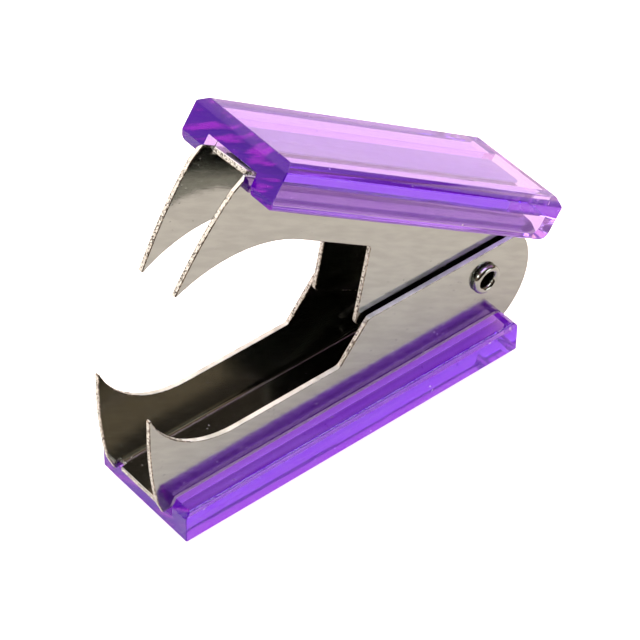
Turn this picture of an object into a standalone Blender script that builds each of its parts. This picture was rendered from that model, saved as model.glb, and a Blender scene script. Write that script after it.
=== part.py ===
"""Staple remover: two sheet-steel jaws on a hollow rivet, each in a clear moulded grip.

Frame: metres, +Z up, mouth towards -Y, hinge axis along X. The lower grip lies flat on Z = 0 and
the origin is the middle of the whole part's footprint. The jaws stand open, as the spring leaves them.

Both halves are drawn the same way, in side view: `along` runs back from the grip's front face, and
`height` runs from the grip's outer face towards the other half. The upper half is the lower half
turned over and swung up about the rivet.
"""
import math

import bmesh
import bpy
from mathutils import Matrix, Vector

MM = 0.001

# Grips: clear blocks with a channel for the steel
GRIP_LENGTH = 57.0 * MM
GRIP_WIDTH = 17.7 * MM
GRIP_THICKNESS = 6.4 * MM
GRIP_CHAMFER = 1.0 * MM          # around the outer face
GRIP_EDGE_RADIUS = 0.7 * MM      # along the inner face
GRIP_FRONT_RELIEF = 0.75 * MM    # the front face leans back towards the inner face...
GRIP_FRONT_RELIEF_HEIGHT = 1.3 * MM
GRIP_REAR_ROUND = 1.8 * MM       # ...and the rear corner is rounded
GRIP_REAR_ROUND_HEIGHT = 1.5 * MM
POCKET_FLOOR = 3.45 * MM         # height of the channel's floor
POCKET_SIDE_GAP = 0.2 * MM       # from the channel's sides to the steel

# Steel channels
SHEET = 0.75 * MM
WEB_HEIGHT = 3.9 * MM            # outer face of the web
BEND_RADIUS = 1.4 * MM           # outside of the bend between web and wall
LOWER_HALF_WIDTH = 5.68 * MM     # outer face of a wall from the middle plane
UPPER_HALF_WIDTH = 4.5 * MM
LOWER_WEB_FRONT = -0.5 * MM      # the web's front edge, from the grip's front face
UPPER_WEB_FRONT = 0.2 * MM
BEND_RELIEF = 0.8 * MM           # how far the notches beside the web run on behind its front edge
LOWER_REAR_CENTRE = (50.6 * MM, 13.1 * MM)
LOWER_REAR_RADIUS = 10.6 * MM
UPPER_REAR_CENTRE = (50.8 * MM, 13.1 * MM)
UPPER_REAR_RADIUS = 9.5 * MM

# Fangs and the arch behind them, which is a quarter circle down to a level edge
FANG_TIP_ALONG = -2.85 * MM
FANG_TIP_ROUND = 0.15 * MM
FANG_FRONT_BULGE = 0.25 * MM     # how far the front edge bows forward
FANG_FOOT_ALONG = -0.9 * MM
FANG_LENGTH = 17.0 * MM          # from web to tip
FANG_LEAN = 0.95 * MM            # how far each upper fang leans in at its tip
FRONT_TWIST = math.radians(2.8)  # how far the front of the upper channel is twisted
SETTLE_CUTS = 7                  # rings of edges that let the upper channel lean and twist
LOWER_ARCH_RADIUS = 14.4 * MM
LOWER_ARCH_CENTRE = (10.9 * MM, 27.05 * MM)
LOWER_ARCH_HEIGHT = LOWER_ARCH_CENTRE[1] - LOWER_ARCH_RADIUS
UPPER_ARCH_RADIUS = 19.9 * MM
UPPER_ARCH_CENTRE = (14.4 * MM, 31.8 * MM)
UPPER_ARCH_HEIGHT = UPPER_ARCH_CENTRE[1] - UPPER_ARCH_RADIUS

# Lobes: (along, height) of the foot and top of the front edge, and of the top's rear end
LOWER_LOBE_FOOT = (28.0 * MM, LOWER_ARCH_HEIGHT)
LOWER_LOBE_TOP = (32.8 * MM, 18.65 * MM)
LOWER_LOBE_BACK = (59.3 * MM, 18.65 * MM)
UPPER_LOBE_FOOT = (28.3 * MM, UPPER_ARCH_HEIGHT)
UPPER_LOBE_TOP = (33.2 * MM, 23.4 * MM)
UPPER_LOBE_BACK = (48.5 * MM, 22.6 * MM)
LOBE_CORNER_RADIUS = 0.8 * MM

# Rivet
PIVOT_ALONG = 53.1 * MM
PIVOT_HEIGHT = 14.2 * MM
RIVET_RADIUS = 1.6 * MM
RIVET_BORE_RADIUS = 1.2 * MM
RIVET_HOLE_RADIUS = RIVET_RADIUS + 0.25 * MM
RIM_RADIUS = 2.3 * MM
RIM_HEIGHT = 0.75 * MM
RIM_GAP = 0.2 * MM

# Spring
WIRE_RADIUS = 0.45 * MM
COIL_RADIUS = 2.45 * MM
COIL_TURNS = 5
COIL_PITCH = 1.05 * MM
COIL_POINTS_PER_TURN = 14
SPRING_LEG_REACH = 13.0 * MM     # how far ahead of the rivet a leg touches the web
SPRING_LEG_GAP = 0.25 * MM
SPRING_TOE = 1.2 * MM            # the turned-up end of a leg

# Adhesive strips
BOND_GAP = 0.12 * MM
BOND_HALF_WIDTH_INSET = 1.6 * MM
BOND_CORNER_RADIUS = 0.8 * MM
BOND_FRONT = 2.0 * MM
BOND_REAR = 54.0 * MM

# Pose: angle between the two halves as the spring leaves them
OPEN_ANGLE = math.radians(33.8)

# The middle of the open part's footprint, measured along the lower half
FOOTPRINT_CENTRE = 30.369 * MM

ARC_STEPS = 14
CORNER_STEPS = 3
ROUND_SEGMENTS = 32
WELD_DISTANCE = 0.00001
OVERSHOOT = 3.0 * MM
SMOOTH_ANGLE = math.radians(30)


# ---------------------------------------------------------------- frames

def lower_frame():
    """(x, along, height) of the lower half to the world."""
    return Matrix.Translation((0.0, -FOOTPRINT_CENTRE, 0.0))


def pivot_point():
    return lower_frame() @ Vector((0.0, PIVOT_ALONG, PIVOT_HEIGHT))


def upper_frame():
    """(x, along, height) of the upper half to the world: mirrored in height, then swung open."""
    swing = Matrix.Rotation(-OPEN_ANGLE, 4, "X")
    turned_over = Matrix.Scale(-1.0, 4, (0.0, 0.0, 1.0))
    to_pivot = Matrix.Translation((0.0, -PIVOT_ALONG, -PIVOT_HEIGHT))
    return Matrix.Translation(pivot_point()) @ swing @ turned_over @ to_pivot


# ---------------------------------------------------------------- outlines

def arc(centre, radius, start, end, steps=ARC_STEPS):
    """Points of an arc, angles in radians; radius is a number or an (across, up) pair."""
    across, up = radius if isinstance(radius, tuple) else (radius, radius)
    angles = [start + (end - start) * step / steps for step in range(steps + 1)]
    return [(centre[0] + across * math.cos(a), centre[1] + up * math.sin(a)) for a in angles]


def rounded_corner(before, corner, after, radius, steps=CORNER_STEPS):
    """A corner of an outline replaced by an arc of the given radius."""
    corner = Vector(corner)
    back = (Vector(before) - corner).normalized()
    ahead = (Vector(after) - corner).normalized()
    half_angle = back.angle(ahead) / 2
    centre = corner + (back + ahead).normalized() * radius / math.sin(half_angle)
    first = corner + back * radius / math.tan(half_angle) - centre
    last = corner + ahead * radius / math.tan(half_angle) - centre
    sweep = first.angle_signed(last)
    return [tuple(centre + Matrix.Rotation(-sweep * step / steps, 2) @ first)
            for step in range(steps + 1)]


def fang_outline(arch_centre, arch_radius):
    """From the foot of the fang, up its front edge, over the tip and along the arch.

    The front edge leaves the foot at a slant, straightens towards the tip and bows a little forward.
    """
    tip_angle = math.acos((FANG_TIP_ALONG - arch_centre[0]) / arch_radius)
    tip = (FANG_TIP_ALONG, arch_centre[1] - arch_radius * math.sin(tip_angle))
    foot = (FANG_FOOT_ALONG, WEB_HEIGHT)
    steps = ARC_STEPS // 2
    front = []
    for step in range(1, steps):
        part = step / steps
        lean = (tip[0] - foot[0]) * math.sqrt(math.sin(part * math.pi / 2))
        bulge = FANG_FRONT_BULGE * math.sin(part * math.pi)
        front.append((foot[0] + lean - bulge, foot[1] + (tip[1] - foot[1]) * part))
    arch = arc(arch_centre, arch_radius, -tip_angle, -math.pi / 2)
    blunt_tip = rounded_corner(front[-1], tip, arch[1], FANG_TIP_ROUND)
    return [foot] + front + blunt_tip + arch[1:]


def wall_outline(fang, lobe_foot, lobe_top, lobe_back, rear_centre, rear_radius):
    """Side view of a channel: fang, arch, lobe and rear arc, closed well below the web."""
    lobe = rounded_corner(fang[-1], lobe_foot, lobe_top, LOBE_CORNER_RADIUS)
    lobe += rounded_corner(lobe_foot, lobe_top, lobe_back, LOBE_CORNER_RADIUS)
    back_angle = math.atan2(lobe_back[1] - rear_centre[1], lobe_back[0] - rear_centre[0])
    web_angle = math.asin((WEB_HEIGHT - rear_centre[1]) / rear_radius)
    rear = arc(rear_centre, rear_radius, back_angle, web_angle)[2:]
    lobe += rounded_corner(lobe_top, lobe_back, rear[0], LOBE_CORNER_RADIUS)
    under = WEB_HEIGHT - OVERSHOOT
    return [(fang[0][0], under)] + fang + lobe + rear + [(rear[-1][0], under)]


def channel_section(half_width):
    """Front view of a channel: a U of even thickness with rounded bends, tall enough for any fang."""
    top = 2 * UPPER_ARCH_HEIGHT + OVERSHOOT
    inner = half_width - SHEET
    inner_radius = BEND_RADIUS - SHEET
    outer_bend = (half_width - BEND_RADIUS, WEB_HEIGHT + BEND_RADIUS)
    steps = 2 * CORNER_STEPS
    right_outer = arc(outer_bend, BEND_RADIUS, -math.pi / 2, 0.0, steps)
    right_inner = arc(outer_bend, inner_radius, 0.0, -math.pi / 2, steps)
    right = right_outer + [(half_width, top), (inner, top)] + right_inner
    left = [(-across, height) for across, height in reversed(right)]
    return right + left


def grip_section(pocket_half_width):
    """Front view of a grip: chamfered outer face, rounded inner edges, channel for the steel."""
    half = GRIP_WIDTH / 2
    inset = half - GRIP_CHAMFER
    edge_centre = (half - GRIP_EDGE_RADIUS, GRIP_THICKNESS - GRIP_EDGE_RADIUS)
    right = [(inset, 0.0), (half, GRIP_CHAMFER)]
    right += arc(edge_centre, GRIP_EDGE_RADIUS, 0.0, math.pi / 2, 2 * CORNER_STEPS)
    right += [(pocket_half_width, GRIP_THICKNESS), (pocket_half_width, POCKET_FLOOR)]
    left = [(-across, height) for across, height in reversed(right)]
    return right + left


def grip_side():
    """Side view of a grip: chamfers at the outer face, relieved front and rounded rear inner edge."""
    relief_start = GRIP_THICKNESS - GRIP_FRONT_RELIEF_HEIGHT
    rear_centre = (GRIP_LENGTH - GRIP_REAR_ROUND, GRIP_THICKNESS - GRIP_REAR_ROUND_HEIGHT)
    rear_radii = (GRIP_REAR_ROUND, GRIP_REAR_ROUND_HEIGHT)
    return [(0.0, GRIP_CHAMFER), (GRIP_CHAMFER, 0.0), (GRIP_LENGTH - GRIP_CHAMFER, 0.0),
            (GRIP_LENGTH, GRIP_CHAMFER)] \
        + arc(rear_centre, rear_radii, 0.0, math.pi / 2, 2 * CORNER_STEPS) \
        + [(GRIP_FRONT_RELIEF, GRIP_THICKNESS), (0.0, relief_start)]


# ---------------------------------------------------------------- modelling helpers

def new_collection(name):
    collection = bpy.data.collections.new(name)
    bpy.context.scene.collection.children.link(collection)
    return collection


def material(name, color, roughness, metallic=0.0, transmission=0.0):
    result = bpy.data.materials.new(name)
    result.use_nodes = True
    shader = result.node_tree.nodes["Principled BSDF"]
    shader.inputs["Base Color"].default_value = (*color, 1.0)
    shader.inputs["Roughness"].default_value = roughness
    shader.inputs["Metallic"].default_value = metallic
    shader.inputs["Transmission Weight"].default_value = transmission
    return result


def curve_to_mesh_object(curve_object, collection):
    """A mesh object with the curve's evaluated shape, caps welded; the curve is removed."""
    evaluated = curve_object.evaluated_get(bpy.context.evaluated_depsgraph_get())
    mesh = bpy.data.meshes.new_from_object(evaluated)
    cleaner = bmesh.new()
    cleaner.from_mesh(mesh)
    bmesh.ops.remove_doubles(cleaner, verts=cleaner.verts, dist=WELD_DISTANCE)
    bmesh.ops.recalc_face_normals(cleaner, faces=cleaner.faces)
    cleaner.to_mesh(mesh)
    cleaner.free()
    result = bpy.data.objects.new(curve_object.name, mesh)
    result.matrix_world = curve_object.matrix_world
    bpy.data.objects.remove(curve_object)
    collection.objects.link(result)
    return result


def prism(name, outline, half_depth, collection):
    """A closed outline in the XY plane, extruded both ways along Z, as a mesh object."""
    curve = bpy.data.curves.new(name + "_outline", "CURVE")
    curve.dimensions = "2D"
    curve.fill_mode = "BOTH"
    curve.extrude = half_depth
    spline = curve.splines.new("POLY")
    spline.points.add(len(outline) - 1)
    for point, (across, up) in zip(spline.points, outline):
        point.co = (across, up, 0.0, 1.0)
    spline.use_cyclic_u = True
    curve_object = bpy.data.objects.new(name, curve)
    bpy.context.scene.collection.objects.link(curve_object)
    bpy.context.view_layer.update()
    result = curve_to_mesh_object(curve_object, collection)
    result.name = name
    return result


def bake(target, matrix):
    """Applies a transform to the object's mesh, turning the faces back out after a mirror."""
    target.data.transform(matrix)
    if matrix.determinant() < 0:
        target.data.flip_normals()


# The two views an outline is drawn in, each with its extrusion axis
SIDE_VIEW = Matrix(((0, 0, 1, 0), (1, 0, 0, 0), (0, 1, 0, 0), (0, 0, 0, 1)))
FRONT_VIEW = Matrix(((1, 0, 0, 0), (0, 0, -1, 0), (0, 1, 0, 0), (0, 0, 0, 1)))


def side_prism(name, outline, half_width, collection):
    result = prism(name, outline, half_width, collection)
    bake(result, SIDE_VIEW)
    return result


def front_prism(name, outline, start, end, collection):
    result = prism(name, outline, (end - start) / 2, collection)
    bake(result, Matrix.Translation((0.0, (start + end) / 2, 0.0)) @ FRONT_VIEW)
    return result


def cylinder_along_x(name, radius, half_length, centre, collection):
    mesh = bpy.data.meshes.new(name)
    shape = bmesh.new()
    bmesh.ops.create_cone(shape, cap_ends=True, segments=ROUND_SEGMENTS, radius1=radius,
                          radius2=radius, depth=2 * half_length,
                          matrix=Matrix.Translation(centre) @ Matrix.Rotation(math.pi / 2, 4, "Y"))
    shape.to_mesh(mesh)
    shape.free()
    result = bpy.data.objects.new(name, mesh)
    collection.objects.link(result)
    return result


def rounded_box(name, low, high, radius, collection):
    mesh = bpy.data.meshes.new(name)
    shape = bmesh.new()
    middle = (Vector(low) + Vector(high)) / 2
    size = Vector(high) - Vector(low)
    bmesh.ops.create_cube(shape, size=1.0,
                          matrix=Matrix.Translation(middle) @ Matrix.Diagonal((*size, 1.0)))
    if radius:
        upright = [edge for edge in shape.edges
                   if abs(edge.verts[0].co.z - edge.verts[1].co.z) > size.z / 2]
        bmesh.ops.bevel(shape, geom=upright, offset=radius, segments=2 * CORNER_STEPS,
                        profile=0.5, affect="EDGES")
    shape.to_mesh(mesh)
    shape.free()
    result = bpy.data.objects.new(name, mesh)
    collection.objects.link(result)
    return result


def boolean(target, cutter, operation):
    modifier = target.modifiers.new(cutter.name, "BOOLEAN")
    modifier.operation = operation
    modifier.solver = "EXACT"
    modifier.object = cutter


def apply_modifiers(target):
    """Replaces the object's mesh with its evaluated one, so that it can be moved as a whole."""
    bpy.context.view_layer.update()
    evaluated = target.evaluated_get(bpy.context.evaluated_depsgraph_get())
    mesh = bpy.data.meshes.new_from_object(evaluated)
    target.modifiers.clear()
    target.data = mesh


def place_on_pivot(target, frame):
    """Gives the object its world shape with its origin on the rivet's axis."""
    bake(target, Matrix.Translation(-pivot_point()) @ frame)
    target.location = pivot_point()


def finish(target, surface):
    target.data.materials.clear()
    target.data.materials.append(surface)
    target.data.shade_smooth()
    target.data.set_sharp_from_angle(angle=SMOOTH_ANGLE)


# ---------------------------------------------------------------- pieces

def build_jaw(name, half_width, web_front, outline, parts, cutters):
    """One folded channel: a U bar trimmed to its side view, with the web set back and both holes."""
    rear_end = GRIP_LENGTH + 2 * OVERSHOOT
    jaw = front_prism(name, channel_section(half_width), -2 * OVERSHOOT, rear_end, parts)
    trim = side_prism(name + "_trim", outline, half_width + OVERSHOOT, cutters)
    boolean(jaw, trim, "INTERSECT")
    flat = half_width - BEND_RADIUS
    inner = half_width - SHEET
    low = WEB_HEIGHT - OVERSHOOT
    high = WEB_HEIGHT + BEND_RADIUS
    setback = rounded_box(name + "_web_setback", (-flat, -4 * OVERSHOOT, low),
                          (flat, web_front, high), 0.0, cutters)
    boolean(jaw, setback, "DIFFERENCE")
    for side, (start, end) in (("left", (-inner, -flat)), ("right", (flat, inner))):
        relief = rounded_box(name + "_relief_" + side, (start, -4 * OVERSHOOT, low),
                             (end, web_front + BEND_RELIEF, high), 0.0, cutters)
        boolean(jaw, relief, "DIFFERENCE")
    hole = cylinder_along_x(name + "_hole", RIVET_HOLE_RADIUS, half_width + OVERSHOOT,
                            (0.0, PIVOT_ALONG, PIVOT_HEIGHT), cutters)
    boolean(jaw, hole, "DIFFERENCE")
    apply_modifiers(jaw)
    return jaw


def slice_across(target, axis, places):
    """Adds edges where the planes cross the mesh, so that its long faces can bend."""
    shape = bmesh.new()
    shape.from_mesh(target.data)
    for place in places:
        everything = list(shape.verts) + list(shape.edges) + list(shape.faces)
        bmesh.ops.bisect_plane(shape, geom=everything, dist=WELD_DISTANCE,
                               plane_co=Vector(axis) * place, plane_no=axis)
    bmesh.ops.triangulate(shape, faces=shape.faces)
    shape.to_mesh(target.data)
    shape.free()


def settle_front(jaw):
    """Leans the fangs in and twists the front of the channel, both fading out towards the lobes."""
    fade_end = UPPER_LOBE_FOOT[0]
    slice_across(jaw, (0.0, 1.0, 0.0), [fade_end * (cut + 1) / SETTLE_CUTS for cut in range(SETTLE_CUTS)])
    for vertex in jaw.data.vertices:
        across, along, height = vertex.co
        share = max(0.0, min(1.0, 1.0 - along / fade_end))
        share *= share * (3.0 - 2.0 * share)  # so that the bending starts and ends gently
        drop = max(0.0, height - WEB_HEIGHT - SHEET)
        lean = math.copysign(FANG_LEAN * drop / FANG_LENGTH, across)
        twist = FRONT_TWIST * share
        vertex.co.x = across - lean * share + twist * drop
        vertex.co.z = height - twist * (across - UPPER_HALF_WIDTH)


def build_grip(name, steel_half_width, frame, parts, cutters):
    """One grip: the front view run along its length, trimmed to the side view."""
    section = grip_section(steel_half_width + POCKET_SIDE_GAP)
    grip = front_prism(name, section, -OVERSHOOT, GRIP_LENGTH + OVERSHOOT, parts)
    trim = side_prism(name + "_trim", grip_side(), GRIP_WIDTH, cutters)
    boolean(grip, trim, "INTERSECT")
    apply_modifiers(grip)
    place_on_pivot(grip, frame)
    return grip


def build_bond(name, steel_half_width, frame, parts):
    """The adhesive strip that fills the space between a web and its grip."""
    half = steel_half_width - BOND_HALF_WIDTH_INSET
    bond = rounded_box(name, (-half, BOND_FRONT, POCKET_FLOOR + BOND_GAP),
                       (half, BOND_REAR, WEB_HEIGHT - BOND_GAP), BOND_CORNER_RADIUS, parts)
    place_on_pivot(bond, frame)
    return bond


def build_rivet(parts):
    """A hollow rivet: straight tube with a rolled rim at each end, turned about X."""
    seat = LOWER_HALF_WIDTH + RIM_GAP
    rim_middle = (RIM_RADIUS + RIVET_BORE_RADIUS) / 2
    rim_half = (RIM_RADIUS - RIVET_BORE_RADIUS) / 2
    crown = arc((rim_middle, seat), (rim_half, RIM_HEIGHT), math.pi, 0.0, 4 * CORNER_STEPS)
    outer_half = [(RIM_RADIUS, seat), (RIVET_RADIUS, seat)]
    inner_half = [(RIVET_BORE_RADIUS, seat)] + crown[1:-1]
    half = inner_half + outer_half
    other_half = [(radius, -height) for radius, height in reversed(half)]
    profile = half + other_half + half[:1]
    mesh = bpy.data.meshes.new("pivot_rivet")
    edges = [(index, index + 1) for index in range(len(profile) - 1)]
    mesh.from_pydata([(radius, 0.0, height) for radius, height in profile], edges, [])
    rivet = bpy.data.objects.new("pivot_rivet", mesh)
    parts.objects.link(rivet)
    screw = rivet.modifiers.new("turn", "SCREW")
    screw.axis = "Z"
    screw.steps = ROUND_SEGMENTS
    screw.render_steps = ROUND_SEGMENTS
    screw.use_merge_vertices = True
    screw.merge_threshold = WELD_DISTANCE
    rivet.rotation_euler = (0.0, math.pi / 2, 0.0)
    rivet.location = pivot_point()
    return rivet


def spring_route():
    """The wire's middle line about the rivet: leg on the lower web, coil, leg on the upper web."""
    web_drop = PIVOT_HEIGHT - WEB_HEIGHT - SHEET - WIRE_RADIUS - SPRING_LEG_GAP
    tip_angle = math.atan2(-web_drop, -SPRING_LEG_REACH)
    tip_distance = math.hypot(web_drop, SPRING_LEG_REACH)
    start = tip_angle + math.acos(COIL_RADIUS / tip_distance)
    sweep = 2 * math.pi * COIL_TURNS - 2 * start - OPEN_ANGLE
    half_length = COIL_TURNS * COIL_PITCH / 2
    steps = COIL_POINTS_PER_TURN * COIL_TURNS
    coil = []
    for step in range(steps + 1):
        share = step / steps
        angle = start + sweep * share
        coil.append(Vector(((2 * share - 1) * half_length, COIL_RADIUS * math.cos(angle),
                            COIL_RADIUS * math.sin(angle))))
    lower_tip = Vector((-half_length, -SPRING_LEG_REACH, -web_drop))
    lower_toe = lower_tip + Vector((0.0, -SPRING_TOE, SPRING_TOE / 2))
    swing = Matrix.Rotation(-OPEN_ANGLE, 3, "X") @ Matrix.Diagonal((-1.0, 1.0, -1.0))
    return [lower_toe, lower_tip] + coil + [swing @ lower_tip, swing @ lower_toe]


def build_spring(parts):
    curve = bpy.data.curves.new("return_spring_wire", "CURVE")
    curve.dimensions = "3D"
    curve.bevel_depth = WIRE_RADIUS
    curve.bevel_resolution = 2
    curve.use_fill_caps = True
    route = spring_route()
    spline = curve.splines.new("POLY")
    spline.points.add(len(route) - 1)
    for point, place in zip(spline.points, route):
        point.co = (*place, 1.0)
    spring = bpy.data.objects.new("return_spring", curve)
    spring.location = pivot_point()
    parts.objects.link(spring)
    return spring


# ---------------------------------------------------------------- assembly

def clear_scene():
    for existing in list(bpy.data.objects):
        bpy.data.objects.remove(existing, do_unlink=True)


def main():
    clear_scene()
    parts = new_collection("staple_remover")
    cutters = new_collection("staple_remover_cutters")

    steel = material("nickel_plated_steel", (0.62, 0.60, 0.57), 0.22, metallic=1.0)
    acrylic = material("violet_acrylic", (0.33, 0.10, 0.85), 0.04, transmission=0.9)
    adhesive = material("clear_adhesive", (0.80, 0.78, 0.86), 0.45)
    spring_steel = material("spring_wire", (0.45, 0.44, 0.43), 0.3, metallic=1.0)

    lower_fang = fang_outline(LOWER_ARCH_CENTRE, LOWER_ARCH_RADIUS)
    upper_fang = fang_outline(UPPER_ARCH_CENTRE, UPPER_ARCH_RADIUS)
    lower_outline = wall_outline(lower_fang, LOWER_LOBE_FOOT, LOWER_LOBE_TOP, LOWER_LOBE_BACK,
                                 LOWER_REAR_CENTRE, LOWER_REAR_RADIUS)
    upper_outline = wall_outline(upper_fang, UPPER_LOBE_FOOT, UPPER_LOBE_TOP, UPPER_LOBE_BACK,
                                 UPPER_REAR_CENTRE, UPPER_REAR_RADIUS)

    lower, upper = lower_frame(), upper_frame()
    lower_jaw = build_jaw("lower_jaw", LOWER_HALF_WIDTH, LOWER_WEB_FRONT, lower_outline, parts,
                          cutters)
    place_on_pivot(lower_jaw, lower)
    finish(lower_jaw, steel)
    upper_jaw = build_jaw("upper_jaw", UPPER_HALF_WIDTH, UPPER_WEB_FRONT, upper_outline, parts,
                          cutters)
    settle_front(upper_jaw)
    place_on_pivot(upper_jaw, upper)
    finish(upper_jaw, steel)
    finish(build_grip("lower_grip", LOWER_HALF_WIDTH, lower, parts, cutters), acrylic)
    finish(build_grip("upper_grip", UPPER_HALF_WIDTH, upper, parts, cutters), acrylic)
    finish(build_bond("lower_bond", LOWER_HALF_WIDTH, lower, parts), adhesive)
    finish(build_bond("upper_bond", UPPER_HALF_WIDTH, upper, parts), adhesive)
    finish(build_rivet(parts), steel)
    build_spring(parts).data.materials.append(spring_steel)

    for cutter in cutters.objects:
        cutter.hide_render = True
        cutter.display_type = "WIRE"


main()
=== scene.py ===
"""Looks of the staple remover: nickel-plated jaws in clear violet acrylic grips, on a white table."""
import math

import bmesh
import bpy
from mathutils import Matrix, Vector
from mathutils.bvhtree import BVHTree


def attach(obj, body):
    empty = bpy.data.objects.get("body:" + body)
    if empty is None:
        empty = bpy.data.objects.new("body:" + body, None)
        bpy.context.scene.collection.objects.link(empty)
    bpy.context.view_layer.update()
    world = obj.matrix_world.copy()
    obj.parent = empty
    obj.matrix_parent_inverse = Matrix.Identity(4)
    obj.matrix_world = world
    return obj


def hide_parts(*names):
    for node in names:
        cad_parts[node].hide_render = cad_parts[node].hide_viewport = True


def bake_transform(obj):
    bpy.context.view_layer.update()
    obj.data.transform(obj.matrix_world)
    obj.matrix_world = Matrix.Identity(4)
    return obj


MM = 0.001
WELD_DISTANCE = 0.001 * MM
FLAT_ANGLE = math.radians(0.2)           # faces that meet at less are one flat face

# Jaws: folded sheet, sheared along its rims.
ROLLING_TILT = math.radians(-31.6)       # the sheet's grain, from level
SHEET_LIMIT = 0.95 * MM                  # more than the sheet's thickness
PROBE_DEPTH = 0.02 * MM                  # how far under a face its thickness is measured
WEB_END = 0.9                            # faces that look along the channel more are its web's ends
WALL_SIDE = 0.6                          # faces that look along X more are a wall's sides
JAW_CORNER_ANGLE = math.radians(50)      # edges that are sharper are broken
BURR = 0.12 * MM                         # how much of a jaw's corner is broken
HIGHLIGHT_FACING_UP = 0.8                             # cut faces and corners that face up more are painted pale, as a highlight from above
SHEARED_SLOT, DARK_CORNER_SLOT, TOP_HIGHLIGHT_SLOT = 1, 2, 3  # a jaw's materials after its plate

# Grips: clear mouldings.
SQUARE_TO_X = 0.1                        # a normal with less X than this counts as square to X
GRIP_CORNER_ANGLE = math.radians(35)     # edges that are sharper are broken
GRIP_BREAK = 0.10 * MM                   # how much of a grip's corner is broken
GRIP_SHARP_ANGLE = math.radians(20)      # edges that are sharper are shaded sharp
FRONT_END = 0.5                          # faces that look further forward are the front end
END_FLOW_TILT = math.radians(-25)        # the flow lines in the front end, from level
BODY_SLOT, FRONT_SLOT = 0, 1             # a grip's materials

# Acrylic: coloured through its depth; its front ends are painted a little more violet, as painted shade.
ACRYLIC_IOR = 1.49
DEPTH_COLOUR = (0.48, 0.08, 0.90, 1.0)
DEPTH_DENSITY = 160.0
# A faint painted violet glow, in place of light caught inside the acrylic.
PAINTED_GLOW_COLOUR = (0.42, 0.02, 0.80, 1.0)
PAINTED_GLOW_STRENGTH = 0.09
LAMP_SHARE = (0.55, 0.60, 0.50, 1.0)     # how much lamplight passes one surface
END_SHADE_TINT = (0.62, 0.03, 1.0, 1.0)        # painted shade: the front end's deeper violet, over the depth's colour

# Turned and bent pieces.
JOIN_ANGLE = math.radians(60)            # how far triangles may differ and still make one quad

# Table, room and camera.
WHITE = (1.0, 1.0, 1.0, 1.0)
TABLE_COLOUR = (0.9, 0.9, 0.9, 1.0)
TABLE_REACH = 1.5                        # from its middle to each side
TABLE_GAP = 0.15 * MM                    # keeps the table clear of the grip that stands on it
TABLE_LIFT = 0.8                         # brings the bare table up to plain white
BRIGHT_SIDE = (1.70, 1.12, 0.80)         # the room towards -X
DIM_SIDE = (0.07, 0.055, 0.045)          # the room towards +X
HORIZON_SHARE = 0.25                     # the room's brightness at the horizon, as a share of full
FULL_HEIGHT = 0.5                        # a direction's Z from which the room is fully bright
CAMERA_AZIMUTH = math.radians(49.841)
CAMERA_ELEVATION = math.radians(43.616)
CAMERA_ROLL = math.radians(0.939)
CAMERA_PLACE = (0.22931, -0.194609, 0.30222)
SENSOR_WIDTH = 36.0                      # in millimetres, as the lens is
CAMERA_LENS = 178.2
NEAR_CLIP = 0.01

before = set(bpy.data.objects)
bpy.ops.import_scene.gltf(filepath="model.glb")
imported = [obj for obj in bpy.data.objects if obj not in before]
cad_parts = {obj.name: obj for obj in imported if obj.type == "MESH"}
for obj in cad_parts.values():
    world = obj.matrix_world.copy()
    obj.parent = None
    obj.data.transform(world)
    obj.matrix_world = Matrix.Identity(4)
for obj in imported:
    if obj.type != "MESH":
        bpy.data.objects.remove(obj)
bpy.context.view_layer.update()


# ---------------------------------------------------------------- shader helpers

def new_material(name):
    """An empty node material: returns it, its node tree and its output node."""
    result = bpy.data.materials.new(name)
    result.use_nodes = True
    tree = result.node_tree
    tree.nodes.clear()
    return result, tree, tree.nodes.new("ShaderNodeOutputMaterial")


def node(tree, kind, inputs=None, **settings):
    """A new shader node. Each input is a socket to link or a value to set."""
    made = tree.nodes.new("ShaderNode" + kind)
    for key, value in settings.items():
        setattr(made, key, value)
    for key, value in (inputs or {}).items():
        if isinstance(value, bpy.types.NodeSocket):
            tree.links.new(value, made.inputs[key])
        else:
            made.inputs[key].default_value = value
    return made


def own_place(tree):
    """The point on the piece, in metres."""
    return node(tree, "TexCoord").outputs["Object"]


def lengthened(tree, place, turn, stretch):
    """The place, turned and then stretched, so that a pattern on it is drawn out in one direction."""
    inputs = {"Vector": place, "Rotation": turn, "Scale": stretch}
    return node(tree, "Mapping", inputs, vector_type="TEXTURE").outputs[0]


def noise(tree, place, scale, detail, roughness=0.5):
    """Smooth noise from 0 to 1, with scale features to the metre."""
    inputs = {"Vector": place, "Scale": scale, "Detail": detail, "Roughness": roughness}
    return node(tree, "TexNoise", inputs).outputs["Fac"]


def ramp(tree, value, *stops):
    """A colour ramp through (position, colour) stops."""
    made = node(tree, "ValToRGB", {"Fac": value})
    elements = made.color_ramp.elements
    while len(elements) < len(stops):
        elements.new(0.5)
    for element, (position, colour) in zip(elements, stops):
        element.position = position
        element.color = (*colour, 1.0)
    return made.outputs["Color"]


def grey(level):
    """A neutral colour, which a socket for a number reads as that number."""
    return (level, level, level)


def bump(tree, height, strength, distance, over=None):
    """The normal of a surface raised by height, over the bumps that it already has."""
    inputs = {"Height": height, "Strength": strength, "Distance": distance}
    if over is not None:
        inputs["Normal"] = over
    return node(tree, "Bump", inputs).outputs[0]


def principled(tree, output, inputs):
    """Makes the material's surface one Principled shader."""
    shader = node(tree, "BsdfPrincipled", inputs)
    tree.links.new(shader.outputs[0], output.inputs["Surface"])


# ---------------------------------------------------------------- materials

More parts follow.
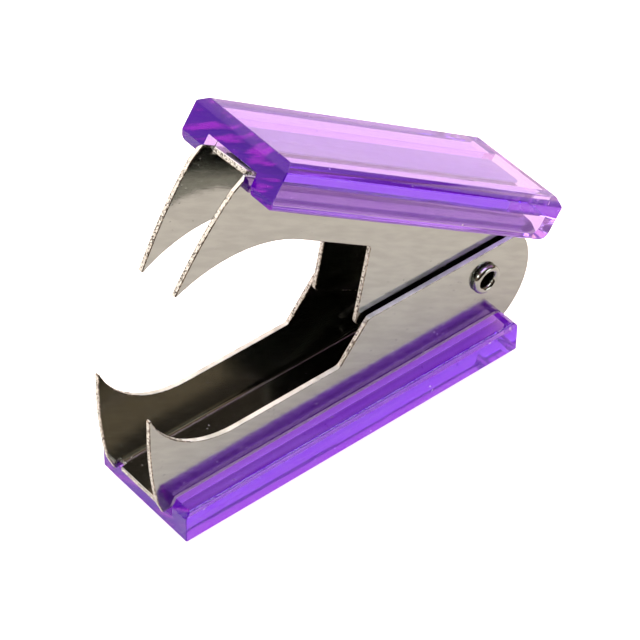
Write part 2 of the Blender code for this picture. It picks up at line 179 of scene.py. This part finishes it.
def plated_steel():
    """Nickel plate over rolled sheet: satin grain along the sheet, soft waves and a few small pits."""
    result, tree, output = new_material("plated_steel")
    place = own_place(tree)
    rolled = lengthened(tree, place, turn=(ROLLING_TILT, 0.0, 0.0), stretch=(1.0, 5.0, 1.0))
    grain = noise(tree, rolled, scale=2400.0, detail=4.0, roughness=0.65)
    waves = noise(tree, rolled, scale=1100.0, detail=2.0)
    cells = node(tree, "TexVoronoi", {"Vector": place, "Scale": 1100.0})
    pits = ramp(tree, cells.outputs["Distance"], (0.08, grey(0.0)), (0.16, grey(1.0)))
    patches = noise(tree, place, scale=300.0, detail=1.0)
    whole = ramp(tree, patches, (0.52, grey(1.0)), (0.58, grey(0.0)))
    surface = node(tree, "Math", {0: pits, 1: whole}, operation="MAXIMUM").outputs[0]
    grained = bump(tree, grain, strength=0.10, distance=0.04 * MM)
    wavy = bump(tree, waves, strength=0.12, distance=0.08 * MM, over=grained)
    pitted = bump(tree, surface, strength=0.5, distance=0.05 * MM, over=wavy)
    rough = ramp(tree, grain, (0.3, grey(0.09)), (0.7, grey(0.17)))
    tone = ramp(tree, waves, (0.35, (0.327, 0.347, 0.325)), (0.65, (0.368, 0.391, 0.366)))
    principled(tree, output, {"Base Color": tone, "Metallic": 1.0, "Roughness": rough, "Normal": pitted})
    return result


def cut_steel():
    """The sheared edge of the sheet: torn, bright and sparkling, with darker grains."""
    result, tree, output = new_material("cut_steel")
    grains = node(tree, "TexVoronoi", {"Vector": own_place(tree), "Scale": 5200.0})
    shine = node(tree, "SeparateColor", {"Color": grains.outputs["Color"]}).outputs["Red"]
    torn = bump(tree, grains.outputs["Distance"], strength=0.8, distance=0.15 * MM)
    rough = ramp(tree, shine, (0.0, grey(0.55)), (1.0, grey(0.2)))
    tone = ramp(tree, shine, (0.10, (0.09, 0.09, 0.085)), (0.35, (0.60, 0.645, 0.61)),
                (0.70, (0.92, 0.98, 0.95)))
    principled(tree, output, {"Base Color": tone, "Metallic": 0.25, "Roughness": rough, "Normal": torn})
    return result


def dark_corner_steel():
    """The broken corner along a sheared edge, darker than the faces that it divides."""
    result, tree, output = new_material("dark_corner_steel")
    nicks = noise(tree, own_place(tree), scale=2600.0, detail=3.0)
    nicked = bump(tree, nicks, strength=0.4, distance=0.1 * MM)
    rough = ramp(tree, nicks, (0.35, grey(0.12)), (0.65, grey(0.3)))
    tone = ramp(tree, nicks, (0.42, (0.08, 0.07, 0.06)), (0.60, (0.40, 0.38, 0.33)))
    principled(tree, output, {"Base Color": tone, "Metallic": 1.0, "Roughness": rough, "Normal": nicked})
    return result


def top_highlight_steel():
    """A cut edge or corner that faces up, painted pale and smooth, as a highlight from above."""
    result, tree, output = new_material("top_highlight_steel")
    highlight_mottle = noise(tree, own_place(tree), scale=500.0, detail=2.0)
    tone = ramp(tree, highlight_mottle, (0.35, (0.58, 0.66, 0.66)), (0.60, (0.85, 0.94, 0.95)))
    principled(tree, output, {"Base Color": tone, "Metallic": 0.2, "Roughness": 0.3})
    return result


def violet_acrylic(name, cloud_and_shade_tint, ripple, turn, stretch, streaks):
    """Clear acrylic coloured through its depth, with flow lines, smears and specks of dust, and a faint
    painted violet glow.

    The flow lines run as turn and stretch say, raise the surface by ripple and are as cloudy as
    streaks says. Light from the lamps passes, so that what is inside and under it is lit.
    """
    result, tree, output = new_material(name)
    place = own_place(tree)
    flow = noise(tree, lengthened(tree, place, turn, stretch), scale=900.0, detail=2.0)
    rippled = bump(tree, flow, strength=ripple, distance=0.3 * MM)
    cells = node(tree, "TexVoronoi", {"Vector": place, "Scale": 620.0})
    patches = noise(tree, place, scale=260.0, detail=2.0)
    specks = ramp(tree, cells.outputs["Distance"], (0.05, grey(0.0)), (0.10, grey(1.0)))
    clean = ramp(tree, patches, (0.56, grey(1.0)), (0.66, grey(0.0)))
    dusty = node(tree, "Math", {0: specks, 1: clean}, operation="MAXIMUM").outputs[0]
    lined = ramp(tree, flow, (0.50, grey(1.0)), (0.64, grey(1.0 - streaks)))
    clear = node(tree, "Math", {0: dusty, 1: lined}, operation="MINIMUM").outputs[0]
    smears = ramp(tree, patches, (0.45, grey(0.0)), (0.75, grey(0.08)))
    # The emission is a painted violet glow, in place of light caught inside the acrylic.
    body = node(tree, "BsdfPrincipled", {
        "Base Color": cloud_and_shade_tint, "Roughness": smears, "IOR": ACRYLIC_IOR, "Transmission Weight": clear,
        "Emission Color": PAINTED_GLOW_COLOUR, "Emission Strength": PAINTED_GLOW_STRENGTH,
        "Normal": rippled})
    open_way = node(tree, "BsdfTransparent", {"Color": LAMP_SHARE})
    lamp_ray = node(tree, "LightPath").outputs["Is Shadow Ray"]
    surface = node(tree, "MixShader", {0: lamp_ray, 1: body.outputs[0], 2: open_way.outputs[0]})
    depth = node(tree, "VolumeAbsorption", {"Color": DEPTH_COLOUR, "Density": DEPTH_DENSITY})
    tree.links.new(surface.outputs[0], output.inputs["Surface"])
    tree.links.new(depth.outputs[0], output.inputs["Volume"])
    return result


def adhesive():
    """The set adhesive between steel and acrylic, pale and a little uneven."""
    result, tree, output = new_material("adhesive")
    smears = noise(tree, own_place(tree), scale=400.0, detail=3.0)
    tone = ramp(tree, smears, (0.3, (0.33, 0.50, 0.49)), (0.7, (0.40, 0.58, 0.57)))
    principled(tree, output, {"Base Color": tone, "Roughness": 0.4})
    return result


def spring_wire():
    """Drawn wire, plain and slightly dull."""
    result, tree, output = new_material("spring_wire")
    drawn = noise(tree, own_place(tree), scale=2500.0, detail=3.0)
    rough = ramp(tree, drawn, (0.3, grey(0.25)), (0.7, grey(0.4)))
    tone = ramp(tree, drawn, (0.3, grey(0.26)), (0.7, grey(0.36)))
    principled(tree, output, {"Base Color": tone, "Metallic": 1.0, "Roughness": rough})
    return result


# ---------------------------------------------------------------- pieces

def welded_copy(name):
    """The shape of a CAD node, its corners welded."""
    shape = bmesh.new()
    shape.from_mesh(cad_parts[name].data)
    bmesh.ops.remove_doubles(shape, verts=shape.verts, dist=WELD_DISTANCE)
    return shape


def piece_from(shape, name, materials):
    """Turns a finished bmesh shape into a smooth-shaded object."""
    mesh = bpy.data.meshes.new(name)
    shape.to_mesh(mesh)
    shape.free()
    for material in materials:
        mesh.materials.append(material)
    mesh.shade_smooth()
    piece = bpy.data.objects.new(name, mesh)
    bpy.context.scene.collection.objects.link(piece)
    return piece


def apply_modifiers(piece):
    """Keeps what the piece's modifiers make, without the modifiers."""
    bpy.context.view_layer.update()
    evaluated = piece.evaluated_get(bpy.context.evaluated_depsgraph_get())
    mesh = bpy.data.meshes.new_from_object(evaluated)
    piece.modifiers.clear()
    piece.data = mesh


def grip_direction(grip):
    """The direction along a grip: square to X and to its largest flat face that is square to X."""
    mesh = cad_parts[grip].data
    largest = max(mesh.polygons, key=lambda face: face.area * (abs(face.normal.x) < SQUARE_TO_X))
    return Vector((1.0, 0.0, 0.0)).cross(largest.normal).normalized()


def is_cut_edge(face, solid, along):
    """True on a face that was sheared: the ends of the web, and the walls' rims, a sheet thick in X."""
    if abs(face.normal.dot(along)) > WEB_END:
        return True
    if abs(face.normal.x) > WALL_SIDE:
        return False
    inside = face.calc_center_median() - face.normal * PROBE_DEPTH
    across = Vector((1.0, 0.0, 0.0))
    reach = [solid.ray_cast(inside, way, SHEET_LIMIT)[3] for way in (across, -across)]
    return None not in reach and sum(reach) < SHEET_LIMIT


def detailed_jaw(name, body, grip):
    """A jaw with its rims' corners broken, and its sheared faces in their own finish."""
    shape = welded_copy(name)
    solid = BVHTree.FromBMesh(shape)
    along = grip_direction(grip)
    for face in shape.faces:
        if is_cut_edge(face, solid, along):
            # Cut faces that face up are painted pale, as a highlight from above.
            face.material_index = TOP_HIGHLIGHT_SLOT if face.normal.z > HIGHLIGHT_FACING_UP else SHEARED_SLOT
    bmesh.ops.dissolve_limit(shape, angle_limit=FLAT_ANGLE, verts=shape.verts, edges=shape.edges,
                             delimit={"MATERIAL"})
    corners = [edge for edge in shape.edges if edge.calc_face_angle(0.0) > JAW_CORNER_ANGLE]
    broken = bmesh.ops.bevel(shape, geom=corners, offset=BURR, segments=2, profile=0.5,
                             affect="EDGES", clamp_overlap=False, material=DARK_CORNER_SLOT)
    # Broken corners that face up get the same painted highlight.
    for face in broken["faces"]:
        if face.normal.z > HIGHLIGHT_FACING_UP:
            face.material_index = TOP_HIGHLIGHT_SLOT
    piece = piece_from(shape, name + "_plated", [steel, sheared, dark_corner, top_highlight])
    piece.modifiers.new("flats", "WEIGHTED_NORMAL")
    apply_modifiers(piece)
    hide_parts(name)
    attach(piece, body)


def detailed_grip(name, body):
    """A grip with its corners just broken, so that they catch the light, and a streaked front end."""
    shape = welded_copy(name)
    bmesh.ops.dissolve_limit(shape, angle_limit=FLAT_ANGLE, verts=shape.verts, edges=shape.edges)
    corners = [edge for edge in shape.edges if edge.calc_face_angle(0.0) > GRIP_CORNER_ANGLE]
    bmesh.ops.bevel(shape, geom=corners, offset=GRIP_BREAK, segments=1, affect="EDGES",
                    clamp_overlap=False)
    along = grip_direction(name)
    front = along if along.y < 0 else -along
    # Faces that look forward take the end material, painted a deeper violet as shade.
    for face in shape.faces:
        face.material_index = FRONT_SLOT if face.normal.dot(front) > FRONT_END else BODY_SLOT
    acrylic = violet_acrylic(name + "_acrylic", cloud_and_shade_tint=WHITE, ripple=0.03,
                             turn=(math.atan2(along.z, along.y), 0.0, 0.0),
                             stretch=(1.5, 25.0, 1.0), streaks=0.03)
    piece = piece_from(shape, name + "_clear", [acrylic, acrylic_end])
    piece.data.set_sharp_from_angle(angle=GRIP_SHARP_ANGLE)
    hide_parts(name)
    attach(piece, body)


def smooth_piece(name, suffix, material):
    """A turned or bent CAD node, subdivided until its roundness shows no facets."""
    shape = welded_copy(name)
    bmesh.ops.join_triangles(shape, faces=shape.faces, angle_face_threshold=JOIN_ANGLE,
                             angle_shape_threshold=JOIN_ANGLE)
    piece = piece_from(shape, name + suffix, [material])
    smoother = piece.modifiers.new("smooth", "SUBSURF")
    smoother.levels = 1
    smoother.render_levels = smoother.levels
    apply_modifiers(piece)
    piece.data.shade_smooth()
    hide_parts(name)
    return piece


def plated_rivet():
    """The hollow rivet that the jaws turn on, set in the lower one."""
    piece = smooth_piece("pivot_rivet", "_plated", steel)
    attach(piece, "lower")


def detailed_spring():
    """The spring's one leg stays with the lower jaw and the other swings with the upper one; here it is
    only made smooth and baked where it stands, and rides with neither jaw.
    """
    piece = smooth_piece("return_spring", "_wire", spring_wire())
    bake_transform(piece)


def dress(name, material):
    """Gives its finished material to a CAD node that is kept."""
    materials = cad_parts[name].data.materials
    materials.clear()
    materials.append(material)


steel = plated_steel()
sheared = cut_steel()
dark_corner = dark_corner_steel()
top_highlight = top_highlight_steel()
acrylic_end = violet_acrylic("violet_acrylic_end", cloud_and_shade_tint=END_SHADE_TINT, ripple=0.2,
                             turn=(0.0, END_FLOW_TILT, 0.0), stretch=(5.0, 4.0, 0.7), streaks=0.26)
glue = adhesive()
detailed_jaw("lower_jaw", "lower", "lower_grip")
detailed_jaw("upper_jaw", "upper", "upper_grip")
plated_rivet()
detailed_spring()
detailed_grip("lower_grip", "lower")
detailed_grip("upper_grip", "upper")
for bond in ("lower_bond", "upper_bond"):
    dress(bond, glue)


# ---------------------------------------------------------------- stage, light and camera

def build_table():
    """A white table that the camera sees as plain white and the object mirrors as it is."""
    mesh = bpy.data.meshes.new("table")
    shape = bmesh.new()
    bmesh.ops.create_grid(shape, x_segments=1, y_segments=1, size=TABLE_REACH)
    shape.to_mesh(mesh)
    shape.free()
    table = bpy.data.objects.new("table", mesh)
    table.location.z = -TABLE_GAP
    bpy.context.scene.collection.objects.link(table)
    result, tree, output = new_material("table_white")
    seen = node(tree, "LightPath").outputs["Is Camera Ray"]
    lift = node(tree, "Math", {0: seen, 1: TABLE_LIFT}, operation="MULTIPLY").outputs[0]
    principled(tree, output, {"Base Color": TABLE_COLOUR, "Roughness": 0.6,
                              "Emission Color": WHITE, "Emission Strength": lift})
    mesh.materials.append(result)


def area_light(name, place, target, size, power):
    """A rectangular lamp at place that points at target."""
    data = bpy.data.lights.new(name, "AREA")
    data.shape = "RECTANGLE"
    data.size, data.size_y = size
    data.energy = power
    light = bpy.data.objects.new(name, data)
    bpy.context.scene.collection.objects.link(light)
    light.location = place
    light.rotation_euler = (Vector(target) - Vector(place)).to_track_quat("-Z", "Y").to_euler()


def build_world():
    """The room round the table: warm and bright on one side, dim on the other and near the horizon."""
    world = bpy.data.worlds.new("studio")
    world.use_nodes = True
    tree = world.node_tree
    way = node(tree, "SeparateXYZ", {0: node(tree, "TexCoord").outputs["Generated"]}).outputs
    share = node(tree, "MapRange", {"Value": way["X"], "From Min": -1.0, "From Max": 1.0}).outputs[0]
    tone = ramp(tree, share, (0.2, BRIGHT_SIDE), (0.8, DIM_SIDE))
    level = node(tree, "MapRange", {"Value": way["Z"], "From Min": 0.0, "From Max": FULL_HEIGHT,
                                    "To Min": HORIZON_SHARE, "To Max": 1.0}).outputs[0]
    lit = node(tree, "VectorMath", {0: tone, "Scale": level}, operation="SCALE").outputs[0]
    tree.links.new(lit, tree.nodes["Background"].inputs["Color"])
    bpy.context.scene.world = world


def build_camera():
    """A camera that looks down on the mouth and the +X side."""
    out = math.cos(CAMERA_ELEVATION)
    back = Vector((math.sin(CAMERA_AZIMUTH) * out, -math.cos(CAMERA_AZIMUTH) * out,
                   math.sin(CAMERA_ELEVATION)))
    right = Vector((math.cos(CAMERA_AZIMUTH), math.sin(CAMERA_AZIMUTH), 0.0))
    upright = Matrix((right, back.cross(right), back)).transposed()
    turned = upright @ Matrix.Rotation(CAMERA_ROLL, 3, "Z")
    data = bpy.data.cameras.new("camera")
    data.sensor_width = SENSOR_WIDTH
    data.lens = CAMERA_LENS
    data.clip_start = NEAR_CLIP
    camera = bpy.data.objects.new("camera", data)
    bpy.context.scene.collection.objects.link(camera)
    camera.matrix_world = Matrix.Translation(CAMERA_PLACE) @ turned.to_4x4()
    bpy.context.scene.camera = camera


bpy.context.scene.view_settings.view_transform = "Standard"
build_table()
build_world()
area_light("overhead", place=(0.0, -0.1, 1.5), target=(0.0, 0.0, 0.0), size=(1.2, 1.2), power=19.5)
area_light("side_window", place=(1.05, 0.58, 0.32), target=(0.0, 0.0, 0.015), size=(0.6, 0.4), power=3.0)
area_light("front", place=(0.15, -1.2, 0.8), target=(0.0, 0.0, 0.02), size=(0.5, 0.3), power=2.5)
build_camera()
